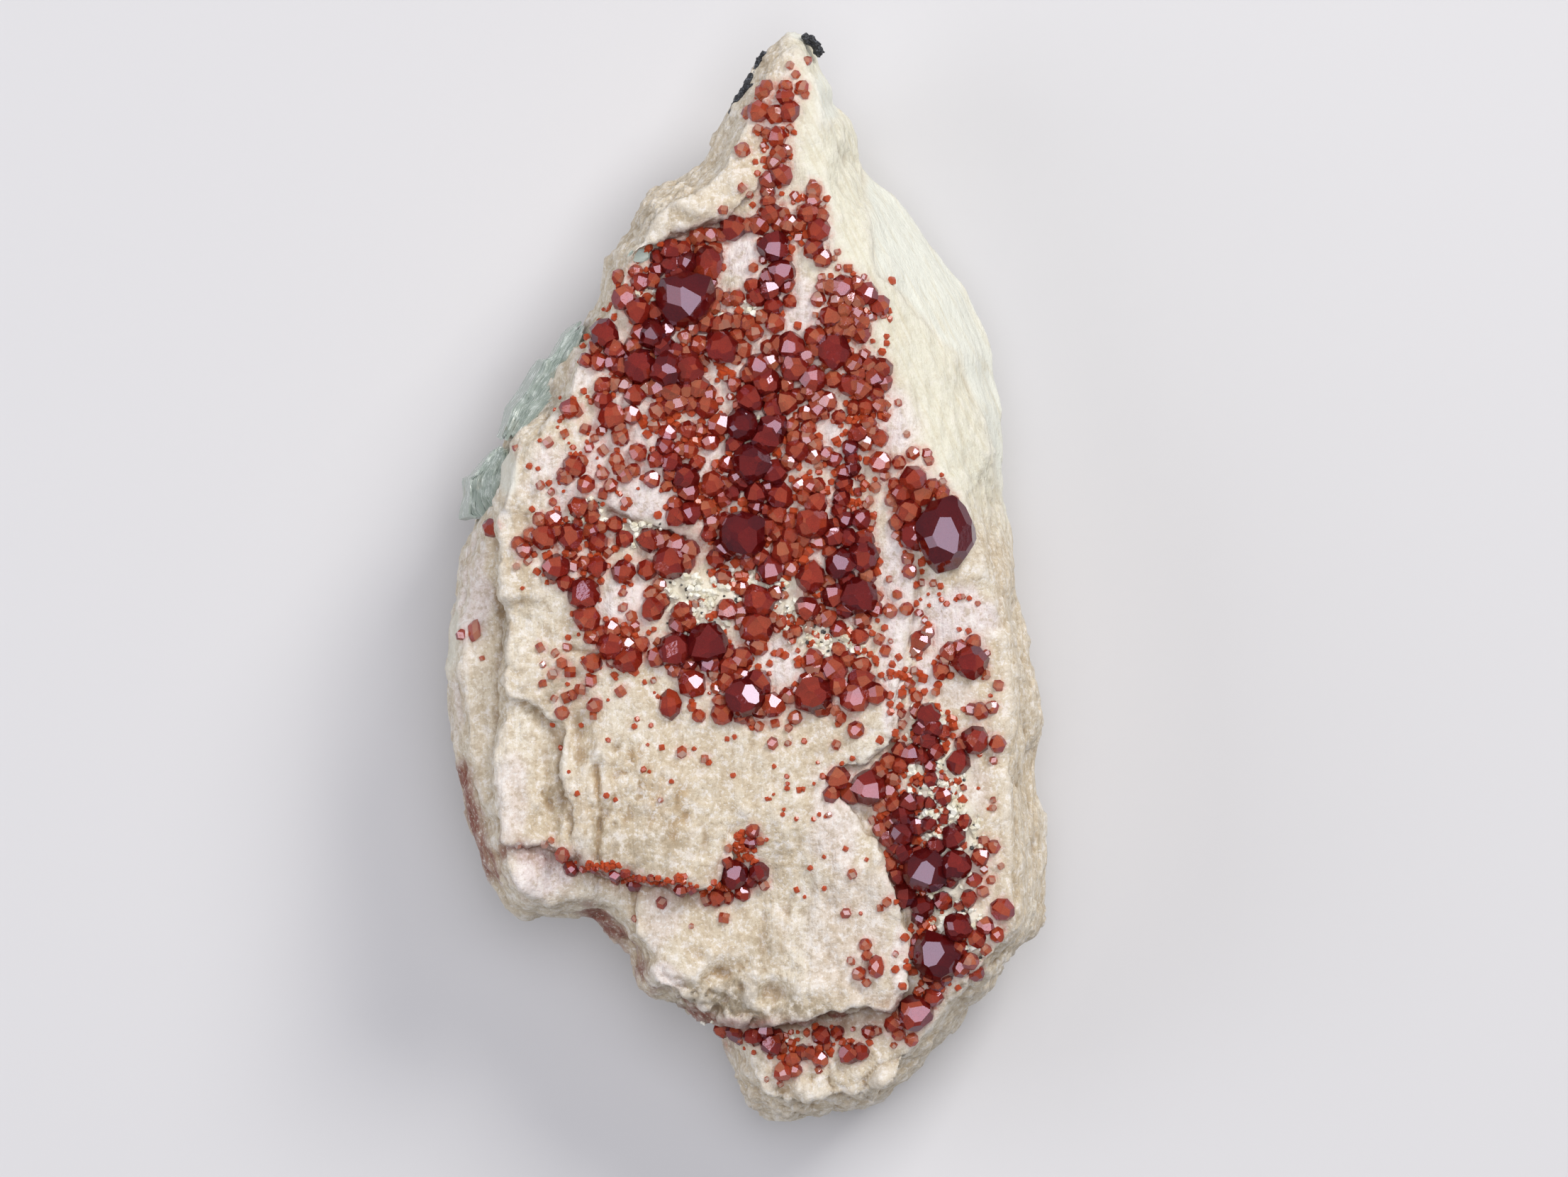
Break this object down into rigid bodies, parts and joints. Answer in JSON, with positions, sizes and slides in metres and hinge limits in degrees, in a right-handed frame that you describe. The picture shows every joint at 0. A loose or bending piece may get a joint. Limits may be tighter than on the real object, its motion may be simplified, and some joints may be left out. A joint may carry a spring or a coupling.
{
  "type": "spessartine garnet specimen on feldspar matrix",
  "caption": "Mineral specimen: glossy orange-red garnet crystals scattered over a tall pointed block of pale feldspar, with mica and black tourmaline at its edges.",
  "frame": {"origin": "on the resting plane, under the middle of the block's outline", "axes": "+Y towards the pointed end, +Z out of the garnet-bearing face, +X to the right of that face"},
  "size_m": [0.0776, 0.1398, 0.0383],
  "materials": {
    "feldspar": "cleaved feldspar, satin to rough, ochre stained",
    "garnet": "glossy translucent crystal faces",
    "mica": "pearly translucent sheets",
    "tourmaline": "black, striated, vitreous"
  },
  "bodies": {
    "root": {"feldspar_matrix": "feldspar", "garnets_centre_1": "garnet", "garnets_centre_10": "garnet", "garnets_centre_11": "garnet", "garnets_centre_12": "garnet", "garnets_centre_13": "garnet", "garnets_centre_14": "garnet", "garnets_centre_15": "garnet", "garnets_centre_16": "garnet", "garnets_centre_17": "garnet", "garnets_centre_18": "garnet", "garnets_centre_19": "garnet", "garnets_centre_2": "garnet", "garnets_centre_20": "garnet", "garnets_centre_21": "garnet", "garnets_centre_22": "garnet", "garnets_centre_23": "garnet", "garnets_centre_24": "garnet", "garnets_centre_3": "garnet", "garnets_centre_4": "garnet", "garnets_centre_5": "garnet", "garnets_centre_6": "garnet", "garnets_centre_7": "garnet", "garnets_centre_8": "garnet", "garnets_centre_9": "garnet", "garnets_knot_1": "garnet", "garnets_left_1": "garnet", "garnets_left_2": "garnet", "garnets_left_3": "garnet", "garnets_left_4": "garnet", "garnets_left_5": "garnet", "garnets_left_6": "garnet", "garnets_lower_left_1": "garnet", "garnets_lower_left_2": "garnet", "garnets_lower_left_3": "garnet", "garnets_mid_left_1": "garnet", "garnets_mid_left_2": "garnet", "garnets_mid_left_3": "garnet", "garnets_mid_left_4": "garnet", "garnets_ridge_1": "garnet", "garnets_ridge_2": "garnet", "garnets_ridge_3": "garnet", "garnets_step_1": "garnet", "garnets_vein_1": "garnet", "garnets_vein_2": "garnet", "garnets_vein_3": "garnet", "garnets_vein_4": "garnet", "garnets_vein_5": "garnet", "garnets_vein_6": "garnet", "garnets_vein_7": "garnet", "garnets_vein_8": "garnet", "mica_book_lower": "mica", "mica_book_upper": "mica", "tourmaline_left": "tourmaline", "tourmaline_tip": "tourmaline"}
  },
  "joints": []
}
